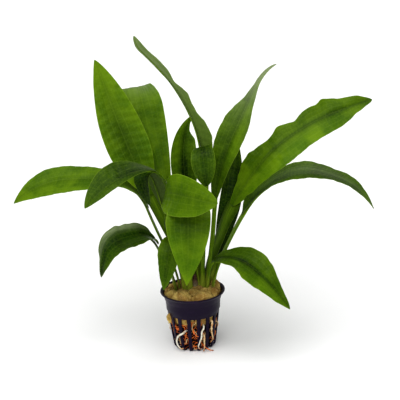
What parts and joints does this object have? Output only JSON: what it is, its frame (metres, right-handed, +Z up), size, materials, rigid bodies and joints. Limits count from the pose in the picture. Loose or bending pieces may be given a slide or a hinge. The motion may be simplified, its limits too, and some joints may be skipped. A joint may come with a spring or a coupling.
{
  "type": "potted amazon sword plant",
  "caption": "Young amazon sword plant with broad pointed leaves on long stalks, rooted in rock wool in a small slotted net pot.",
  "frame": {"origin": "centre of the pot's flat underside, where it stands", "axes": "+Z up along the pot's axis; the plant's front, with the hanging front leaf, faces -Y; +X is to the right seen from the front, towards the large right leaf, and is the plant's longest extent"},
  "size_m": [0.3009, 0.1489, 0.2654],
  "materials": {
    "pot_plastic": "satin",
    "rock_wool": "matte",
    "crown": "matte",
    "leaf": "satin",
    "pale_root": "satin",
    "tan_root": "satin",
    "brown_root": "satin"
  },
  "bodies": {
    "root": {"net_pot": "pot_plastic", "rock_wool": "rock_wool", "crown": "crown", "leaf_far_left": "leaf", "leaf_arched_left": "leaf", "leaf_tall_left": "leaf", "leaf_folded_back": "leaf", "leaf_centre_back": "leaf", "leaf_slender_top": "leaf", "leaf_nodding_centre": "leaf", "leaf_tall_right": "leaf", "leaf_behind_right": "leaf", "leaf_upper_front": "leaf", "leaf_front_hanging": "leaf", "leaf_large_right": "leaf", "leaf_drooping_right": "leaf", "leaf_low_right": "leaf", "leaf_low_left": "leaf", "leaf_low_front": "leaf", "leaf_shaded_left": "leaf", "root_white_hook": "pale_root", "root_white_front": "pale_root", "root_long_pale": "tan_root", "root_tan_right": "tan_root", "root_thin_right": "tan_root", "root_brown_foot": "brown_root", "root_pale_left": "pale_root", "root_orange_front": "brown_root"}
  },
  "joints": []
}
